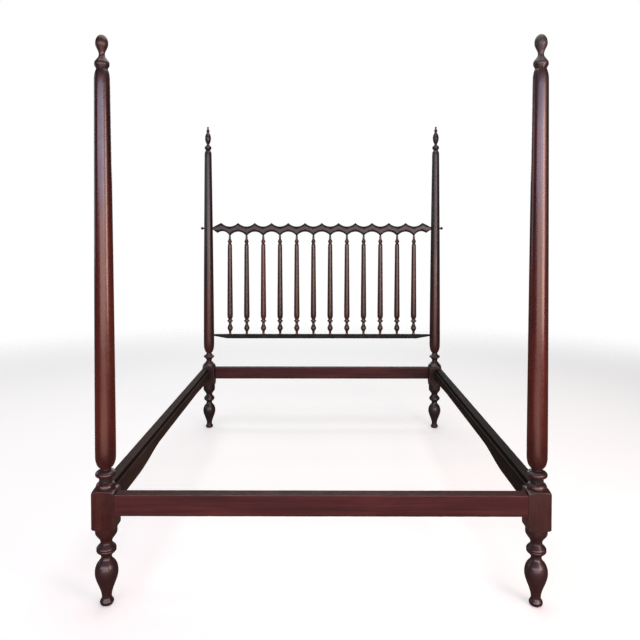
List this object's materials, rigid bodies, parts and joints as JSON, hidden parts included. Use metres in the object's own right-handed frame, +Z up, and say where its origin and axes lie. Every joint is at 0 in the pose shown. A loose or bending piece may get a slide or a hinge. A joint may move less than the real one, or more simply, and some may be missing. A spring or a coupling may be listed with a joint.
{
  "type": "four-post bed frame",
  "caption": "Full-size four-post bed frame with tall turned posts, lift-out finials, rebated side rails and a spindle headboard held by two drawn pins.",
  "frame": {"origin": "on the floor, midway between the four posts' axes", "axes": "+Z up, +Y from the foot towards the head, +X to the right as seen from the foot"},
  "size_m": [1.547, 2.0438, 1.9293],
  "materials": {
    "foot_post_wood": "satin varnish over red mahogany colour, worn warm brown on the shafts",
    "head_post_wood": "satin varnish, dark with age",
    "foot_finial_wood": "dull old varnish",
    "head_finial_wood": "dull old varnish",
    "end_rail_wood": "satin varnish, worn on the upper edge",
    "side_rail_wood": "worn satin varnish, greyish brown",
    "headboard_wood": "satin varnish, dark with age",
    "spindle_wood": "satin varnish, redder on some spindles",
    "pin_wood": "dark, dull"
  },
  "bodies": {
    "frame": {"foot_post_left": "foot_post_wood", "foot_post_right": "foot_post_wood", "head_post_left": "head_post_wood", "head_post_right": "head_post_wood", "foot_rail": "end_rail_wood", "head_rail": "end_rail_wood", "side_rail_left": "side_rail_wood", "side_rail_right": "side_rail_wood", "headboard_top_rail": "headboard_wood", "headboard_bottom_rail": "headboard_wood", "spindle_01": "spindle_wood", "spindle_02": "spindle_wood", "spindle_03": "spindle_wood", "spindle_04": "spindle_wood", "spindle_05": "spindle_wood", "spindle_06": "spindle_wood", "spindle_07": "spindle_wood", "spindle_08": "spindle_wood", "spindle_09": "spindle_wood", "spindle_10": "spindle_wood", "spindle_11": "spindle_wood", "spindle_12": "spindle_wood"},
    "foot_finial_left": {"foot_finial_left": "foot_finial_wood"},
    "foot_finial_right": {"foot_finial_right": "foot_finial_wood"},
    "head_finial_left": {"head_finial_left": "head_finial_wood"},
    "head_finial_right": {"head_finial_right": "head_finial_wood"},
    "headboard_pin_left": {"headboard_pin_left": "pin_wood"},
    "headboard_pin_right": {"headboard_pin_right": "pin_wood"}
  },
  "joints": [
    {"name": "foot_finial_left_lift", "type": "slide", "parent": "frame", "child": "foot_finial_left", "axis": [0, 0, 1], "range_m": [0, 0.045]},
    {"name": "head_finial_left_lift", "type": "slide", "parent": "frame", "child": "head_finial_left", "axis": [0, 0, 1], "range_m": [0, 0.045]},
    {"name": "foot_finial_right_lift", "type": "slide", "parent": "frame", "child": "foot_finial_right", "axis": [0, 0, 1], "range_m": [0, 0.045]},
    {"name": "head_finial_right_lift", "type": "slide", "parent": "frame", "child": "head_finial_right", "axis": [0, 0, 1], "range_m": [0, 0.045]},
    {"name": "headboard_pin_left_draw", "type": "slide", "parent": "frame", "child": "headboard_pin_left", "axis": [-1, 0, 0], "range_m": [0, 0.1]},
    {"name": "headboard_pin_right_draw", "type": "slide", "parent": "frame", "child": "headboard_pin_right", "axis": [1, 0, 0], "range_m": [0, 0.1]}
  ]
}
